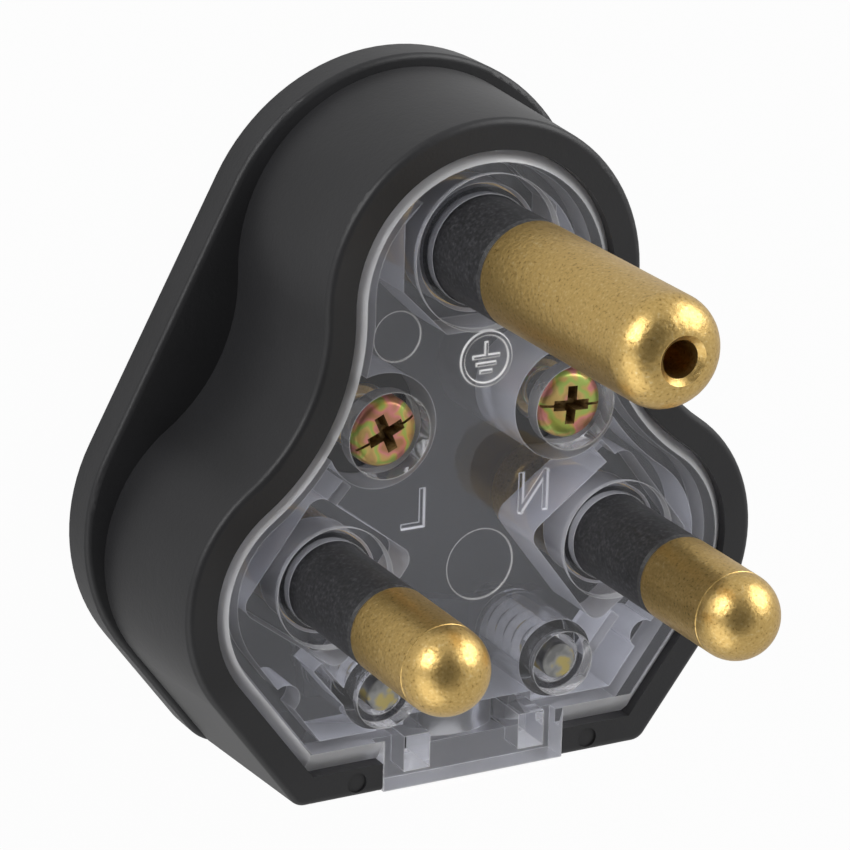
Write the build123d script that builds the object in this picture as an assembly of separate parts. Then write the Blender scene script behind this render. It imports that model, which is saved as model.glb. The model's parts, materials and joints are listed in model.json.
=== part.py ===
from build123d import *
from math import cos, radians, sin, sqrt
import os

# Round-pin rewirable plug top lying on its flat back, with its three pins pointing up.
# X runs across the two line pins, Y towards the earth pin, Z along the pins.
# The origin is the centre of the box on the surface that the back lies on. Millimetres.

# Pins
LINE_PITCH = 25.4            # between the centres of the two line pins
EARTH_PITCH = 28.6           # from the earth pin's centre to each line pin's centre
LINE_PIN_D = 7.06
LINE_PIN_LENGTH = 21.1       # from the plug's face to the tip
EARTH_PIN_D = 8.71
EARTH_PIN_LENGTH = 28.6
EARTH_NOSE_RADIUS = 3.0
EARTH_TIP_HOLE_D = 2.9
EARTH_TIP_HOLE_DEPTH = 9.0
EARTH_TIP_HOLE_FLARE = 0.45
EARTH_TIP_HOLE_CONE = 0.87   # drill point at the bottom of the hole
EARTH_TIP_LAND = 0.05        # flat ring between the hole and the rounded nose
SHOULDER_GROOVE = 0.08       # fine turned line where a line pin's dome starts

# Black sleeves moulded round the roots of the pins
LINE_SLEEVE_LENGTH = 9.1
EARTH_SLEEVE_LENGTH = 6.2
SLEEVE_WALL = 0.8
SLEEVE_COLLAR_LIP = 0.5
SLEEVE_COLLAR_T = 0.8
JOINT_BEVEL = 0.32           # along the pin, on the brass and on the sleeve where they meet
JOINT_BEVEL_DEPTH = 0.14

# Terminal barrels on the inner ends of the pins
LINE_BARREL_LIP = 0.57       # how far a barrel stands out past its pin, over the sleeve's collar
EARTH_BARREL_LIP = 0.645
BARREL_FIT = 0.2
BARREL_BEVEL = 0.4
WIRE_HOLE_D = 3.6
WIRE_HOLE_DEPTH = 10.2       # from the plug's face to the wire hole's centre
TERMINAL_SCREW_D = 3.9
TERMINAL_SCREW_SINK = 0.3
TERMINAL_SCREW_BEVEL = 0.3
TERMINAL_SLOT_WIDTH = 0.9
TERMINAL_SLOT_DEPTH = 1.0
BARREL_FLOOR_GAP = 0.3

# Outline of the face, measured from the middle of the line between the line pins
TOP_CENTRE = 22.4
TOP_RADIUS = 13.84
SIDE_CENTRE_X = 12.9
SIDE_CENTRE_Y = -0.93
SIDE_RADIUS = 12.42
WAIST_RADIUS = 15.2
FLANK_ANGLE = 36.4
BOTTOM_DROP = 18.13
CORNER_RADIUS = 1.4
FLANGE_CORNER_RADIUS = 4.2

# Rubber cover
DEPTH = 17.5
RIM_WALL = 2.45
DRAFT_GROWTH = 0.75          # how much wider the side wall is at the flange than at the rim
RIM_ROUNDING = 0.6
FLOOR_T = 2.1
FLANGE_T = 3.4
FLANGE_LIP = 3.0
FLANGE_TOP_DROP = 1.2
FLANGE_SIDE_IN = 0.7
FLANGE_SIDE_UP = 1.9
FLANGE_ROUNDING = 0.5
FOOT_DIMPLE_D = 1.7
FOOT_DIMPLE_DEPTH = 0.2

# Clear base
BASE_FIT = 0.05
PLATE_T = 2.4
FACE_BEVEL = 0.9
BOTTOM_BEVEL = 1.9           # across the face, along the two straight ends of the plate
BOTTOM_BEVEL_DROP = 1.2
SKIRT_INSET = 1.2
SKIRT_T = 1.1
SKIRT_DEPTH = 6.5
EJECTOR_PAD_D = 2.4          # round pads that widen the skirt where the mould pushes it out
EJECTOR_PAD_DOWN = 4.7       # along the lower flank, from where its straight stretch starts
PIN_FIT = 0.1
LINE_BOSS_WALL = 1.1
LINE_BOSS_TURN = 36.9
LINE_BOSS_CORNER = 1.2
EARTH_BOSS_WALL = 1.4
BOSS_DEPTH = 8.2
LINE_RECESS_MARGIN = 1.47    # from a pin's surface to the wall of the recess round it
EARTH_RECESS_MARGIN = 1.945
PIN_RECESS_DEPTH = 0.9
RIB_T = 0.9
RIB_DEPTH = 6.0
UPPER_RIB_START = (3.0, -3.9)     # from a cover screw
UPPER_RIB_END = (5.7, 0.1)        # from a line pin
LOWER_RIB_START = (0.8, -7.0)     # from a line pin
LOWER_RIB_END = (1.35, -2.3)      # from a clamp screw
MARK_PAD_D = 4.06
MARK_PAD_X = 7.8
MARK_PAD_Y = 19.9
CENTRE_PAD_D = 5.9
PAD_DEPTH = 0.15

# Cover screws and the brass inserts that they turn into
COVER_SCREW_X = 8.25
COVER_SCREW_Y = 11.9
COVER_SCREW_D = 3.4
COVER_HEAD_D = 5.7
COVER_HEAD_H = 2.0
COVER_HEAD_SINK = 0.65
HEAD_BEVEL = 0.6
SCREW_TIP_BEVEL = 0.4
WELL_D = 7.0
WELL_BOSS_D = 9.4
WELL_BOSS_DEPTH = 9.0
SCREW_FIT = 0.1
INSERT_D = 5.4
INSERT_LENGTH = 4.0
INSERT_SINK = 0.6
INSERT_BEVEL = 0.3
SCREW_CROSS_WIDTH = 0.9
SCREW_CROSS_LENGTH = 3.4
SCREW_RECESS_DEPTH = 1.1
SCREW_SLOT_WIDTH = 0.7
SCREW_SLOT_DEPTH = 0.6

# Cord entry and cord clamp
TONGUE_WIDTH = 16.3
TONGUE_DEPTH = 4.0
TONGUE_FIT = 0.1
CORD_BORE_D = 8.0
CORD_AXIS_DEPTH = 8.9
CHANNEL_ROOF_WIDTH = 11.6
CHANNEL_ROOF_LENGTH = 3.2
WINDOW_X = 5.2
WINDOW_Y = -15.2
WINDOW_WIDTH = 2.3
WINDOW_HEIGHT = 3.0
CLAMP_SCREW_X = 7.95
CLAMP_SCREW_Y = -9.9
CLAMP_SCREW_D = 3.9
CLAMP_DOG_D = 3.0
CLAMP_DOG_LENGTH = 2.6
DOG_BEVEL = 0.15
CLAMP_THREAD_BEVEL = 0.35    # where the thread ends at the dog point
CLAMP_TIP_SINK = 0.6
CLAMP_TIP_RECESS_D = 5.4
CLAMP_TIP_RECESS_DEPTH = 1.3
CLAMP_POST_D = 6.6
CLAMP_POST_DEPTH = 9.8
CLAMP_HEAD_D = 5.6
CLAMP_HEAD_H = 1.9
CLAMP_SLOT_WIDTH = 0.9
CLAMP_SLOT_DEPTH = 0.9
CLAMP_BAR_T = 1.6
CLAMP_BAR_WIDTH = 5.6
CLAMP_BAR_END = 3.0          # from a clamp screw's centre to the end of the bar
CLAMP_SADDLE_RISE = 2.2
CLAMP_SADDLE_STEP = 0.4      # how much narrower the arch is on the bar's back

# Places worked out from the sizes above
EARTH_RISE = sqrt(EARTH_PITCH**2 - (LINE_PITCH / 2) ** 2)
FLANGE_RISE = TOP_CENTRE - FLANGE_TOP_DROP + TOP_RADIUS + FLANGE_LIP
LINE_Y = (BOTTOM_DROP - FLANGE_RISE) / 2
FACE = DEPTH
PLATE_BACK = FACE - PLATE_T
BARREL_END = FLOOR_T + BARREL_FLOOR_GAP
BASE_INSET = RIM_WALL + BASE_FIT
LINE_BARREL_D = LINE_PIN_D + 2 * LINE_BARREL_LIP
EARTH_BARREL_D = EARTH_PIN_D + 2 * EARTH_BARREL_LIP
LINE_BORE_D = LINE_BARREL_D + 2 * BARREL_FIT
EARTH_BORE_D = EARTH_BARREL_D + 2 * BARREL_FIT


def place(x, y, z=0.0):
    """A place measured from the middle of the line between the line pins."""
    return Pos(x, LINE_Y + y, z)


def outline(top_y, top_r, side_x, side_y, side_r, flank, grow=0.0, waist_r=None, floor=None):
    """Face of the plug's outline, with all of its arcs offset outwards by grow."""
    top = Vector(0, top_y)
    side = Vector(side_x, side_y)
    between = side - top
    along = between.normalized()
    if waist_r is None:
        lean = (top_r - side_r) / between.length
        square = Vector(-along.Y, along.X)
        out = along * lean + square * sqrt(1 - lean**2)
        top_end = top + out * (top_r + grow)
        side_start = side + out * (side_r + grow)
        flank_line = Line(top_end, side_start)
    else:
        to_top = top_r + waist_r
        to_side = side_r + waist_r
        reach = (to_top**2 - to_side**2 + between.length**2) / (2 * between.length)
        square = Vector(-along.Y, along.X)
        waist = top + along * reach + square * sqrt(to_top**2 - reach**2)
        top_end = top + (waist - top).normalized() * (top_r + grow)
        side_start = side + (waist - side).normalized() * (side_r + grow)
        middle = ((top_end + side_start) * 0.5 - waist).normalized()
        waist_mid = waist + middle * (waist_r - grow)
        flank_line = ThreePointArc(top_end, waist_mid, side_start)
    out = Vector(cos(radians(flank)), -sin(radians(flank)))
    side_end = side + out * (side_r + grow)
    floor = -BOTTOM_DROP - grow if floor is None else floor
    drop = (side_end.Y - floor) / cos(radians(flank))
    corner = side_end - Vector(sin(radians(flank)), cos(radians(flank))) * drop
    start_turn = (side_start - side).normalized()
    side_mid = side + (start_turn + out).normalized() * (side_r + grow)
    half = Curve() + [
        flank_line,
        ThreePointArc(side_start, side_mid, side_end),
        Line(side_end, corner),
    ]
    crown = ThreePointArc(
        Vector(-top_end.X, top_end.Y), top + Vector(0, top_r + grow), top_end
    )
    base = Line(corner, Vector(-corner.X, corner.Y))
    return place(0, 0) * make_face(Curve() + [half, mirror(half, Plane.YZ), crown, base])


def body_outline(grow=0.0, floor=None):
    """Waisted outline of the face."""
    return outline(
        TOP_CENTRE, TOP_RADIUS, SIDE_CENTRE_X, SIDE_CENTRE_Y, SIDE_RADIUS,
        FLANK_ANGLE, grow, WAIST_RADIUS, floor,
    )


def flange_outline():
    """Outline of the finger flange, which runs straight past the waist."""
    return outline(
        TOP_CENTRE - FLANGE_TOP_DROP, TOP_RADIUS + FLANGE_LIP,
        SIDE_CENTRE_X - FLANGE_SIDE_IN, SIDE_CENTRE_Y + FLANGE_SIDE_UP,
        SIDE_RADIUS + FLANGE_LIP, FLANK_ANGLE, floor=-BOTTOM_DROP,
    )


def round_corners(face, radius):
    """Round the two bottom corners of an outline."""
    corners = face.vertices().sort_by(Axis.Y)[:2]
    return fillet(corners, radius)


def prism(face, low, high):
    """Straight solid on a flat face, from one height to another."""
    return extrude(Pos(0, 0, low) * face, high - low)


def rod(x, y, low, high, diameter):
    """Round bar along Z at a place measured from the line pins."""
    return place(x, y, (low + high) / 2) * Cylinder(diameter / 2, high - low)


def block(x, y, low, high, width, height):
    """Rectangular block along Z at a place measured from the line pins."""
    return place(x, y, (low + high) / 2) * Box(width, height, high - low)


# Rubber cover
def rubber_cover():
    """Deep rubber cup with a finger flange, screw posts and half of the cord entry."""
    rim = round_corners(body_outline(), CORNER_RADIUS)
    root = round_corners(body_outline(DRAFT_GROWTH, -BOTTOM_DROP), CORNER_RADIUS)
    wall = loft([Pos(0, 0, FLANGE_T) * root, Pos(0, 0, FACE) * rim])
    wall = fillet(wall.faces().sort_by(Axis.Z)[-1].edges(), RIM_ROUNDING)
    flange = prism(round_corners(flange_outline(), FLANGE_CORNER_RADIUS), 0, FLANGE_T)
    flange = fillet(flange.faces().sort_by(Axis.Z)[-1].edges(), FLANGE_ROUNDING)
    cover = wall + flange
    cover -= prism(body_outline(-RIM_WALL), FLOOR_T, FACE + 1)
    notch = block(
        0, -BOTTOM_DROP, FACE - TONGUE_DEPTH - TONGUE_FIT, FACE + 1,
        TONGUE_WIDTH + 2 * TONGUE_FIT, 4 * RIM_WALL,
    )
    cover -= notch
    cord_z = FACE - CORD_AXIS_DEPTH
    cover -= place(0, -BOTTOM_DROP, cord_z) * Rot(90, 0, 0) * Cylinder(
        CORD_BORE_D / 2, 4 * RIM_WALL
    )
    post_top = FACE - WELL_BOSS_DEPTH
    for side in (-1, 1):
        cover += rod(side * COVER_SCREW_X, COVER_SCREW_Y, FLOOR_T, post_top, WELL_BOSS_D)
        cover -= rod(
            side * COVER_SCREW_X, COVER_SCREW_Y,
            post_top - INSERT_SINK - INSERT_LENGTH, post_top, INSERT_D,
        )
        foot_x = (TONGUE_WIDTH / 2 + SIDE_CENTRE_X) / 2
        foot_y = -BOTTOM_DROP + RIM_WALL / 2
        cover -= rod(
            side * foot_x, foot_y, FACE - FOOT_DIMPLE_DEPTH, FACE + 1, FOOT_DIMPLE_D
        )
    return cover


# Clear base
def line_boss(side):
    """Square boss round a line pin's barrel, turned in line with the lower flank."""
    width = LINE_BORE_D + 2 * LINE_BOSS_WALL
    boss = Rot(0, 0, side * LINE_BOSS_TURN) * Rectangle(width, width)
    return place(side * LINE_PITCH / 2, 0) * fillet(boss.vertices(), LINE_BOSS_CORNER)


def earth_boss():
    """Eight-sided boss round the earth pin's barrel."""
    radius = (EARTH_BORE_D / 2 + EARTH_BOSS_WALL) / cos(radians(22.5))
    return place(0, EARTH_RISE) * Rot(0, 0, 22.5) * RegularPolygon(radius, 8)


def rib(start, end):
    """Upright rib under the plate, between two places measured from the line pins."""
    low = FACE - RIB_DEPTH
    a = Vector(*start)
    b = Vector(*end)
    angle = (b - a).get_angle(Vector(1, 0)) * (1 if b.Y > a.Y else -1)
    middle = (a + b) * 0.5
    web = Rot(0, 0, angle) * Box((b - a).length, RIB_T, PLATE_BACK - low)
    return place(middle.X, middle.Y, (low + PLATE_BACK) / 2) * web


def clear_base():
    """Moulded base: plate, skirt, pin bosses, screw wells, clamp posts and cord channel."""
    edge = body_outline(-BASE_INSET)
    plate = prism(edge, PLATE_BACK, FACE)
    plate = chamfer(plate.faces().sort_by(Axis.Z)[-1].edges(), FACE_BEVEL)
    end = -BOTTOM_DROP + BASE_INSET
    wedge = make_face(Plane.YZ * Polyline(
        (end, FACE - BOTTOM_BEVEL_DROP), (end + BOTTOM_BEVEL, FACE), (end, FACE), close=True
    ))
    plate -= place(0, 0) * extrude(wedge, SIDE_CENTRE_X + SIDE_RADIUS, both=True)
    inner = -BASE_INSET - SKIRT_INSET
    skirt = prism(body_outline(inner), FACE - SKIRT_DEPTH, PLATE_BACK)
    skirt -= prism(body_outline(inner - SKIRT_T), FACE - SKIRT_DEPTH, PLATE_BACK)
    base = plate + skirt
    cavity = prism(body_outline(inner - SKIRT_T / 2), 0, PLATE_BACK)
    flank = radians(FLANK_ANGLE)
    pad_r = SIDE_RADIUS + inner - SKIRT_T
    inside = prism(earth_boss(), FACE - BOSS_DEPTH, PLATE_BACK)
    for side in (-1, 1):
        inside += prism(line_boss(side), FACE - BOSS_DEPTH, PLATE_BACK)
        inside += rod(
            side * COVER_SCREW_X, COVER_SCREW_Y, FACE - WELL_BOSS_DEPTH, PLATE_BACK, WELL_BOSS_D
        )
        inside += rod(
            side * CLAMP_SCREW_X, CLAMP_SCREW_Y, FACE - CLAMP_POST_DEPTH, PLATE_BACK, CLAMP_POST_D
        )
        inside += rib(
            (side * (COVER_SCREW_X + UPPER_RIB_START[0]), COVER_SCREW_Y + UPPER_RIB_START[1]),
            (side * (LINE_PITCH / 2 + UPPER_RIB_END[0]), UPPER_RIB_END[1]),
        )
        inside += rib(
            (side * (LINE_PITCH / 2 + LOWER_RIB_START[0]), LOWER_RIB_START[1]),
            (side * (CLAMP_SCREW_X + LOWER_RIB_END[0]), CLAMP_SCREW_Y + LOWER_RIB_END[1]),
        )
        pad_x = SIDE_CENTRE_X + pad_r * cos(flank) - EJECTOR_PAD_DOWN * sin(flank)
        pad_y = SIDE_CENTRE_Y - pad_r * sin(flank) - EJECTOR_PAD_DOWN * cos(flank)
        inside += rod(side * pad_x, pad_y, FACE - SKIRT_DEPTH, PLATE_BACK, EJECTOR_PAD_D)
    cord_z = FACE - CORD_AXIS_DEPTH
    roof_y = -BOTTOM_DROP + BASE_INSET + CHANNEL_ROOF_LENGTH / 2
    roof = block(0, roof_y, cord_z, PLATE_BACK, CHANNEL_ROOF_WIDTH, CHANNEL_ROOF_LENGTH)
    base += (inside & cavity) + roof
    base += block(
        0, -BOTTOM_DROP + RIM_WALL, FACE - TONGUE_DEPTH, FACE, TONGUE_WIDTH, 2 * RIM_WALL
    )
    base -= place(0, roof_y, cord_z) * Rot(90, 0, 0) * Cylinder(
        CORD_BORE_D / 2, 2 * CHANNEL_ROOF_LENGTH
    )
    for side in (-1, 1):
        line_x = side * LINE_PITCH / 2
        base -= rod(line_x, 0, 0, FACE + 1, LINE_PIN_D + 2 * PIN_FIT)
        base -= rod(line_x, 0, 0, PLATE_BACK, LINE_BORE_D)
        recess_d = LINE_PIN_D + 2 * LINE_RECESS_MARGIN
        base -= rod(line_x, 0, FACE - PIN_RECESS_DEPTH, FACE + 1, recess_d)
        x, y = side * COVER_SCREW_X, COVER_SCREW_Y
        seat = FACE - COVER_HEAD_SINK - COVER_HEAD_H
        base -= rod(x, y, seat, FACE + 1, WELL_D)
        base -= rod(x, y, 0, seat + 1, COVER_SCREW_D + 2 * SCREW_FIT)
        x, y = side * CLAMP_SCREW_X, CLAMP_SCREW_Y
        base -= rod(x, y, 0, FACE + 1, CLAMP_SCREW_D + 2 * SCREW_FIT)
        base -= rod(x, y, FACE - CLAMP_TIP_RECESS_DEPTH, FACE + 1, CLAMP_TIP_RECESS_D)
        base -= block(side * WINDOW_X, WINDOW_Y, 0, FACE + 1, WINDOW_WIDTH, WINDOW_HEIGHT)
        base -= rod(side * MARK_PAD_X, MARK_PAD_Y, FACE - PAD_DEPTH, FACE + 1, MARK_PAD_D)
    base -= rod(0, EARTH_RISE, 0, FACE + 1, EARTH_PIN_D + 2 * PIN_FIT)
    base -= rod(0, EARTH_RISE, 0, PLATE_BACK, EARTH_BORE_D)
    recess_d = EARTH_PIN_D + 2 * EARTH_RECESS_MARGIN
    base -= rod(0, EARTH_RISE, FACE - PIN_RECESS_DEPTH, FACE + 1, recess_d)
    base -= rod(0, 0, FACE - PAD_DEPTH, FACE + 1, CENTRE_PAD_D)
    return base


# Pins
def terminal_barrel(x, y, diameter, wire_turn):
    """Inner end of a pin, with a cross hole for the wire and a tapped hole for the screw."""
    barrel = rod(x, y, BARREL_END, PLATE_BACK - SLEEVE_COLLAR_T, diameter)
    edge = barrel.faces().sort_by(Axis.Z)[0].edges()
    barrel = chamfer(edge, BARREL_BEVEL)
    wire_z = FACE - WIRE_HOLE_DEPTH
    across = Rot(0, 0, wire_turn) * Rot(0, 90, 0) * Cylinder(WIRE_HOLE_D / 2, 2 * diameter)
    barrel -= place(x, y, wire_z) * across
    barrel -= rod(x, y, BARREL_END - 1, wire_z, TERMINAL_SCREW_D + 2 * SCREW_FIT)
    return barrel


def line_pin(side):
    """Domed line pin with a necked root inside its sleeve."""
    radius = LINE_PIN_D / 2
    neck = radius - SLEEVE_WALL
    root = PLATE_BACK - SLEEVE_COLLAR_T
    sleeve_top = FACE + LINE_SLEEVE_LENGTH
    shoulder = FACE + LINE_PIN_LENGTH - radius
    profile = Polyline(
        (0, root), (neck, root), (neck, sleeve_top), (radius - JOINT_BEVEL_DEPTH, sleeve_top),
        (radius, sleeve_top + JOINT_BEVEL), (radius, shoulder - 2 * SHOULDER_GROOVE),
        (radius - SHOULDER_GROOVE, shoulder - SHOULDER_GROOVE), (radius, shoulder),
    )
    bend = radius * cos(radians(45))
    dome = ThreePointArc((radius, shoulder), (bend, shoulder + bend), (0, shoulder + radius))
    axis = Line((0, shoulder + radius), (0, root))
    half = make_face(Plane.XZ * (Curve() + [profile, dome, axis]))
    x = side * LINE_PITCH / 2
    pin = place(x, 0) * revolve(half, Axis.Z)
    return pin + terminal_barrel(x, 0, LINE_BARREL_D, 90)


def earth_pin():
    """Larger earth pin with a rounded nose and a small blind hole in its tip."""
    radius = EARTH_PIN_D / 2
    neck = radius - SLEEVE_WALL
    root = PLATE_BACK - SLEEVE_COLLAR_T
    sleeve_top = FACE + EARTH_SLEEVE_LENGTH
    tip = FACE + EARTH_PIN_LENGTH
    hole = EARTH_TIP_HOLE_D / 2
    flare = EARTH_TIP_HOLE_FLARE
    nose_z = tip - EARTH_NOSE_RADIUS
    nose_x = radius - EARTH_NOSE_RADIUS
    bend = cos(radians(45)) * EARTH_NOSE_RADIUS
    flat = max(nose_x, hole + flare + EARTH_TIP_LAND)
    lift = sqrt(EARTH_NOSE_RADIUS**2 - (flat - nose_x) ** 2)
    side_line = Polyline(
        (0, root), (neck, root), (neck, sleeve_top), (radius - JOINT_BEVEL_DEPTH, sleeve_top),
        (radius, sleeve_top + JOINT_BEVEL), (radius, nose_z),
    )
    nose = ThreePointArc((radius, nose_z), (nose_x + bend, nose_z + bend), (flat, nose_z + lift))
    top = nose_z + lift
    inside = Polyline(
        (flat, top), (hole + flare, top), (hole, top - flare),
        (hole, top - EARTH_TIP_HOLE_DEPTH), (0, top - EARTH_TIP_HOLE_DEPTH - EARTH_TIP_HOLE_CONE),
        (0, root),
    )
    half = make_face(Plane.XZ * (Curve() + [side_line, nose, inside]))
    pin = place(0, EARTH_RISE) * revolve(half, Axis.Z)
    return pin + terminal_barrel(0, EARTH_RISE, EARTH_BARREL_D, 90)


def sleeve(x, y, diameter, length):
    """Black insulating sleeve with a collar trapped between base and barrel."""
    bore = diameter - 2 * SLEEVE_WALL + 2 * BASE_FIT
    collar_z = PLATE_BACK - SLEEVE_COLLAR_T
    tube = rod(x, y, collar_z, FACE + length, diameter)
    wall, top = tube.faces().sort_by(Axis.Z)[1:]
    tube = chamfer(top.edges(), JOINT_BEVEL, JOINT_BEVEL_DEPTH, reference=wall)
    tube += rod(x, y, collar_z, PLATE_BACK, diameter + 2 * SLEEVE_COLLAR_LIP)
    return tube - rod(x, y, collar_z - 1, FACE + length + 1, bore)


def terminal_screw(x, y):
    """Slotted grub screw in the end of a terminal barrel."""
    low = BARREL_END + TERMINAL_SCREW_SINK
    high = FACE - WIRE_HOLE_DEPTH - WIRE_HOLE_D / 2
    grub = rod(x, y, low, high, TERMINAL_SCREW_D)
    grub = chamfer(grub.edges().filter_by(GeomType.CIRCLE), TERMINAL_SCREW_BEVEL)
    return grub - block(
        x, y, low - 1, low + TERMINAL_SLOT_DEPTH, 2 * TERMINAL_SCREW_D, TERMINAL_SLOT_WIDTH
    )


# Fasteners
def cover_screw(side):
    """Pan-head screw with a combined cross and slot recess, head towards the face."""
    x, y = side * COVER_SCREW_X, COVER_SCREW_Y
    top = FACE - COVER_HEAD_SINK
    seat = top - COVER_HEAD_H
    end = FACE - WELL_BOSS_DEPTH - INSERT_SINK - INSERT_LENGTH
    head = rod(x, y, seat, top, COVER_HEAD_D)
    head = chamfer(head.faces().sort_by(Axis.Z)[-1].edges(), HEAD_BEVEL)
    shank = rod(x, y, end, seat, COVER_SCREW_D)
    shank = chamfer(shank.faces().sort_by(Axis.Z)[0].edges(), SCREW_TIP_BEVEL)
    screw = head + shank
    recess_low = top - SCREW_RECESS_DEPTH
    for width, length in (
        (SCREW_CROSS_WIDTH, SCREW_CROSS_LENGTH), (SCREW_CROSS_LENGTH, SCREW_CROSS_WIDTH)
    ):
        screw -= block(x, y, recess_low, top + 1, width, length)
    return screw - block(x, y, top - SCREW_SLOT_DEPTH, top + 1, COVER_HEAD_D, SCREW_SLOT_WIDTH)


def cover_insert(side):
    """Brass insert moulded into a screw post of the cover."""
    x, y = side * COVER_SCREW_X, COVER_SCREW_Y
    high = FACE - WELL_BOSS_DEPTH - INSERT_SINK
    body = rod(x, y, high - INSERT_LENGTH, high, INSERT_D - 2 * BASE_FIT)
    body = chamfer(body.edges().filter_by(GeomType.CIRCLE), INSERT_BEVEL)
    return body - rod(x, y, high - INSERT_LENGTH - 1, high + 1, COVER_SCREW_D + SCREW_FIT)


def clamp_bar():
    """Arched saddle that presses the cord into the base's channel."""
    top = FACE - CLAMP_POST_DEPTH
    low = top - CLAMP_BAR_T
    reach = CLAMP_SCREW_X + CLAMP_BAR_END
    bore = CORD_BORE_D / 2
    back_bore = bore - CLAMP_SADDLE_STEP
    half = Polyline((bore, top), (reach, top), (reach, low), (back_bore, low))
    under = ThreePointArc((bore, top), (0, top - CLAMP_SADDLE_RISE), (-bore, top))
    back = ThreePointArc((back_bore, low), (0, low - CLAMP_SADDLE_RISE), (-back_bore, low))
    section = make_face(Plane.XZ * (Curve() + [half, mirror(half, Plane.YZ), under, back]))
    bar = place(0, CLAMP_SCREW_Y) * extrude(section, CLAMP_BAR_WIDTH / 2, both=True)
    for side in (-1, 1):
        bar -= rod(
            side * CLAMP_SCREW_X, CLAMP_SCREW_Y, low - 1, top + 1, CLAMP_SCREW_D + 4 * SCREW_FIT
        )
    return bar


def clamp_screw(side):
    """Clamp screw whose dog point comes through to the plug's face."""
    x, y = side * CLAMP_SCREW_X, CLAMP_SCREW_Y
    tip = FACE - CLAMP_TIP_SINK
    seat = FACE - CLAMP_POST_DEPTH - CLAMP_BAR_T
    screw = rod(x, y, seat, tip - CLAMP_DOG_LENGTH, CLAMP_SCREW_D)
    screw = chamfer(screw.faces().sort_by(Axis.Z)[-1].edges(), CLAMP_THREAD_BEVEL)
    dog = rod(x, y, tip - CLAMP_DOG_LENGTH, tip, CLAMP_DOG_D)
    dog = chamfer(dog.faces().sort_by(Axis.Z)[-1].edges(), DOG_BEVEL)
    head = rod(x, y, seat - CLAMP_HEAD_H, seat, CLAMP_HEAD_D)
    head = chamfer(head.faces().sort_by(Axis.Z)[0].edges(), HEAD_BEVEL)
    screw += dog + head
    low = seat - CLAMP_HEAD_H
    return screw - block(x, y, low - 1, low + CLAMP_SLOT_DEPTH, CLAMP_HEAD_D, CLAMP_SLOT_WIDTH)


def pieces():
    """Every node's name and solid."""
    line_x = LINE_PITCH / 2
    made = {
        "rubber_cover": rubber_cover(),
        "clear_base": clear_base(),
        "live_pin": line_pin(-1),
        "neutral_pin": line_pin(1),
        "earth_pin": earth_pin(),
        "live_sleeve": sleeve(-line_x, 0, LINE_PIN_D, LINE_SLEEVE_LENGTH),
        "neutral_sleeve": sleeve(line_x, 0, LINE_PIN_D, LINE_SLEEVE_LENGTH),
        "earth_sleeve": sleeve(0, EARTH_RISE, EARTH_PIN_D, EARTH_SLEEVE_LENGTH),
        "live_terminal_screw": terminal_screw(-line_x, 0),
        "neutral_terminal_screw": terminal_screw(line_x, 0),
        "earth_terminal_screw": terminal_screw(0, EARTH_RISE),
        "cord_clamp_bar": clamp_bar(),
    }
    for word, side in (("left", -1), ("right", 1)):
        made[f"cover_screw_{word}"] = cover_screw(side)
        made[f"cover_insert_{word}"] = cover_insert(side)
        made[f"clamp_screw_{word}"] = clamp_screw(side)
    return made


os.makedirs("parts", exist_ok=True)
for name, solid in pieces().items():
    export_step(solid, f"parts/{name}.step")
    print(name, round(solid.volume, 1))
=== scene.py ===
# %% [markdown]
# # A round-pin plug top
# The plug lies on its flat back with its pins pointing up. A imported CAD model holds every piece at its
# real size, and this script gives each surface its finish, adds the fine pieces that CAD leaves plain,
# and sets the floor, the lights and the camera. Everything is in metres, in the CAD model's own frame.

# %% Load the frame
import json
from math import pi, radians

import bmesh
import bpy
from mathutils import Matrix, Vector


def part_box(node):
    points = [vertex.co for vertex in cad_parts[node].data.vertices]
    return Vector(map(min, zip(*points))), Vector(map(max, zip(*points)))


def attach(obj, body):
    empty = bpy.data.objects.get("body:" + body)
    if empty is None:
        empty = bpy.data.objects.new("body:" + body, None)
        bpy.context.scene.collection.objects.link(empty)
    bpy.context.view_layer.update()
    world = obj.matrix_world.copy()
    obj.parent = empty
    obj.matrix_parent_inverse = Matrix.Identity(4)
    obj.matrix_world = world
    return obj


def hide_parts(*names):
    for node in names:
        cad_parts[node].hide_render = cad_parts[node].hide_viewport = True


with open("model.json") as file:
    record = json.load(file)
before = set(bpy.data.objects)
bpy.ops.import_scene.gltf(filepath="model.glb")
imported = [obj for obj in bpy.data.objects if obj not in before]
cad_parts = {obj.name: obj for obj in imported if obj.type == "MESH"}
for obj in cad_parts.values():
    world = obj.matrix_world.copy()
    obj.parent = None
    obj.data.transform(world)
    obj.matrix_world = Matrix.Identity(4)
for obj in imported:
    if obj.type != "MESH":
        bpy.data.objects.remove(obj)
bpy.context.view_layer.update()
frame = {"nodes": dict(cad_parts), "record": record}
nodes = frame["nodes"]
MM = 0.001
print("CAD pieces:", len(nodes))

# %% [markdown]
# The face's height and the pieces' axes come from the CAD pieces themselves: the face is the top of the
# rubber cover, and each round piece's axis is the middle of its box. A size that a box can't show, such
# as the thickness of the base's plate, is written as a number. Fine shapes are modelled in millimetres,
# because a plug's details are fractions of one.


# %% Measure the frame
def axis_of(node):
    """Middle of a CAD piece seen from above, in millimetres."""
    low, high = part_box(node)
    return Vector(((low.x + high.x) / 2, (low.y + high.y) / 2, 0)) / MM


def heights_of(node):
    """Lowest and highest points of a CAD piece, in millimetres."""
    low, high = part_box(node)
    return low.z / MM, high.z / MM


PLATE_THICKNESS = 2.4
FACE = heights_of("rubber_cover")[1]
PLATE_BACK = FACE - PLATE_THICKNESS
LINE_MIDDLE = (axis_of("live_pin") + axis_of("neutral_pin")) / 2
print("face height:", round(FACE, 2), "mm, line of the pins at y =", round(LINE_MIDDLE.y, 2))

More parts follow.
